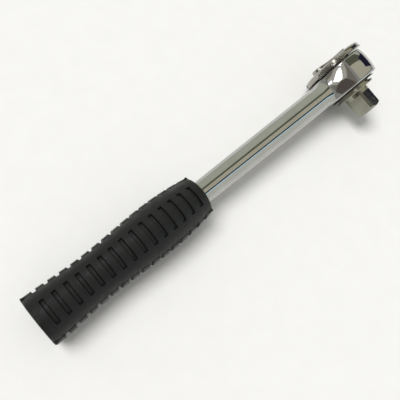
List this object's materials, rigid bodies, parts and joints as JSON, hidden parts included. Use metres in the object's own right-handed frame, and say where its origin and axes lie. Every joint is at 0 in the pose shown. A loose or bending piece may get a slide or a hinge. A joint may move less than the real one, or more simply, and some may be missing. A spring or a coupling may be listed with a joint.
{
  "type": "ratchet wrench",
  "caption": "Half-inch drive ratchet wrench with a round chrome head, knurled reversing dial, tapered chrome shank and slotted black rubber grip.",
  "frame": {"origin": "centre of the end face of the square drive", "axes": "-Y out of the square drive along its axis, +Y towards the dial; -X along the handle towards the butt of the grip; +Z across the handle"},
  "size_m": [0.2501, 0.0419, 0.0408],
  "materials": {
    "chrome": "polished",
    "steel": "satin",
    "rubber": "satin",
    "seal": "matte"
  },
  "bodies": {
    "handle": {"handle_body": "chrome", "rubber_grip": "rubber", "dial_washer": "steel", "detent_spring": "steel", "pawl_pin": "steel", "thrust_washer": "steel", "gear_seal": "seal", "closure_ring": "chrome"},
    "dial": {"reversing_dial": "chrome", "dial_seal": "seal", "dial_retaining_ring": "steel", "shifter_arm": "steel", "shifter_screw": "steel", "pawl_plunger": "steel", "plunger_spring": "steel"},
    "detent": {"detent_ball": "steel"},
    "pawl": {"pawl": "steel"},
    "drive": {"drive_gear": "chrome", "socket_ball_spring": "steel"},
    "socket_ball": {"socket_ball": "steel"}
  },
  "joints": [
    {"name": "drive_spin", "type": "hinge", "parent": "handle", "child": "drive", "pos_m": [0, 0.01, 0], "axis": [0, 1, 0], "continuous": true},
    {"name": "dial_turn", "type": "hinge", "parent": "handle", "child": "dial", "pos_m": [0, 0.036, 0], "axis": [0, 1, 0], "range_deg": [0, 18]},
    {"name": "pawl_rock", "type": "hinge", "parent": "handle", "child": "pawl", "pos_m": [-0.015, 0.0258, 0], "axis": [0, 1, 0], "range_deg": [0, 19]},
    {"name": "detent_press", "type": "slide", "parent": "handle", "child": "detent", "axis": [0, -1, 0], "range_m": [0, 0.0006], "stiffness_N_per_m": 2000, "springref_m": -0.0003, "deforming": ["detent_spring"]},
    {"name": "socket_ball_press", "type": "slide", "parent": "drive", "child": "socket_ball", "axis": [-0.9563, 0, 0.2924], "range_m": [0, 0.0008], "stiffness_N_per_m": 3000, "springref_m": -0.0004, "deforming": ["socket_ball_spring"]}
  ],
  "couplings": [
    {"joint": "pawl_rock", "follows": "dial_turn", "ratio": 1.0556}
  ]
}
